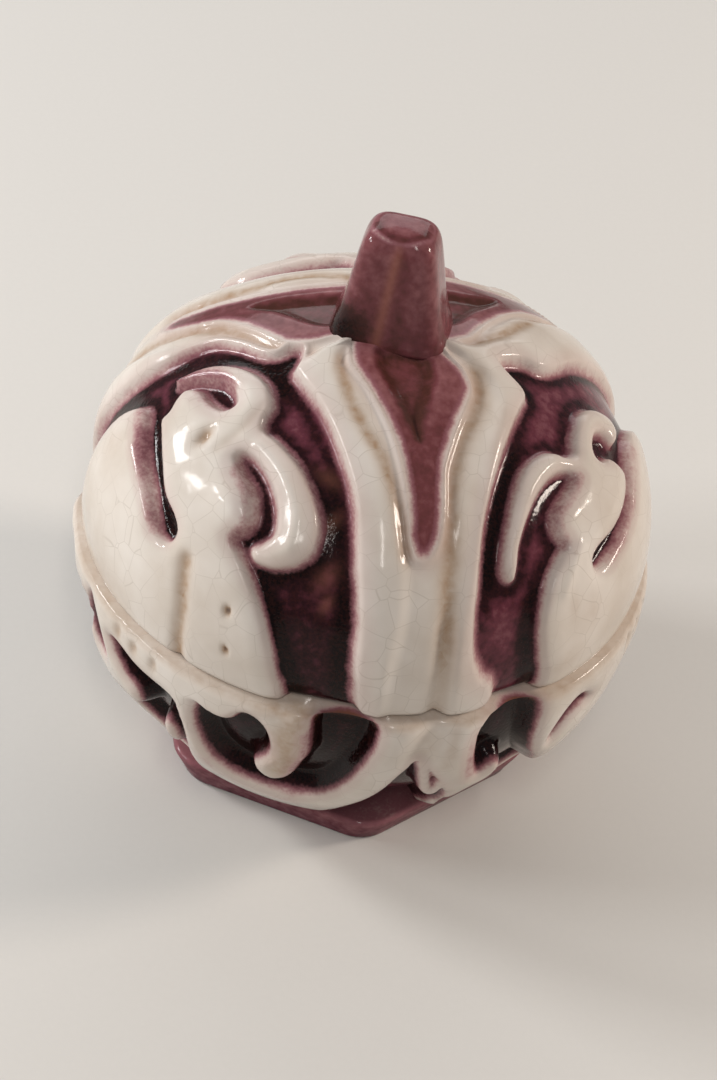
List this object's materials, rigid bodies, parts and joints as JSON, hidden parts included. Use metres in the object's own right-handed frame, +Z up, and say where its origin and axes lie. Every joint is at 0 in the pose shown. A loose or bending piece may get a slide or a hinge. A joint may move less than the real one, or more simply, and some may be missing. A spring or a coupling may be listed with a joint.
{
  "type": "incense box",
  "caption": "Round lidded incense box of glazed earthenware: domed lid with a knob and scroll relief, on a box with a hexagonal foot.",
  "frame": {"origin": "middle of the foot's underside", "axes": "+Z up along the lid's lift, -Y towards the front panel and spear"},
  "size_m": [0.0668, 0.0668, 0.0711],
  "materials": {
    "cream_glaze": "glossy crackled cream glaze",
    "purple_glaze": "glossy manganese purple glaze, near black where it pools"
  },
  "bodies": {
    "box": {"bowl": "cream_glaze", "foot": "purple_glaze", "rim_band": "cream_glaze", "panel_front": "cream_glaze", "panel_right": "cream_glaze", "panel_left": "cream_glaze", "hooks_front_left": "cream_glaze", "hooks_front_right": "cream_glaze", "hooks_back": "cream_glaze", "swag_front_left": "cream_glaze", "swag_front_right": "cream_glaze", "swag_back": "cream_glaze"},
    "lid": {"dome": "purple_glaze", "knob": "purple_glaze", "arch_front_left": "cream_glaze", "arch_front_right": "cream_glaze", "arch_back": "cream_glaze", "spear_front": "purple_glaze", "spear_right": "purple_glaze", "spear_left": "purple_glaze", "scroll_front_left": "cream_glaze", "scroll_front_right": "cream_glaze", "scroll_back": "cream_glaze"}
  },
  "joints": [
    {"name": "lid_lift", "type": "slide", "parent": "box", "child": "lid", "axis": [0, 0, 1], "range_m": [0, 0.06]}
  ]
}
